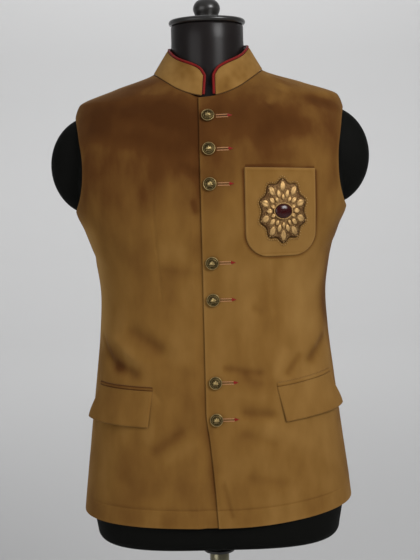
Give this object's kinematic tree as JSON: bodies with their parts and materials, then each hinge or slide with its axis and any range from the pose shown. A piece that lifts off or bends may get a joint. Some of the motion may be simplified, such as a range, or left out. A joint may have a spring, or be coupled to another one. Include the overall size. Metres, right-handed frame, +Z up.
{
  "type": "nehru jacket on a limbless dress form",
  "caption": "Sleeveless velvet jacket with a standing band collar, chest pocket and hip flaps, buttoned on a limbless dress form on a pole stand.",
  "frame": {"origin": "centre of the stand's base, on the floor", "axes": "+Z up, the jacket's front towards -Y, the wearer's left towards +X"},
  "size_m": [0.52, 0.36, 1.3901],
  "materials": {
    "velvet": "golden brown cotton velvet with a soft directional nap",
    "red_cord": "dark red satin piping",
    "antique_brass": "antique brass, dulled in the hollows",
    "gold_thread": "dull gold metal thread embroidery",
    "dark_stone": "polished dark red resin stone",
    "form_cloth": "black knit cover, matt",
    "black_lacquer": "turned wood with black lacquer",
    "pole_metal": "brushed steel with a warm tint",
    "base_paint": "black satin paint"
  },
  "bodies": {
    "root": {"front_left": "velvet", "front_right": "velvet", "back_left": "velvet", "back_right": "velvet", "collar": "velvet", "collar_piping": "red_cord", "chest_pocket": "velvet", "badge": "gold_thread", "badge_stone": "dark_stone", "hip_flap_left": "velvet", "hip_flap_right": "velvet", "hip_jet_left": "velvet", "hip_jet_right": "velvet", "button_1": "antique_brass", "button_2": "antique_brass", "button_3": "antique_brass", "button_4": "antique_brass", "button_5": "antique_brass", "button_6": "antique_brass", "button_7": "antique_brass", "form_torso": "form_cloth", "neck_cap": "black_lacquer", "neck_knob": "black_lacquer", "form_flange": "black_lacquer", "stand_pole": "pole_metal", "stand_base": "base_paint"}
  },
  "joints": []
}
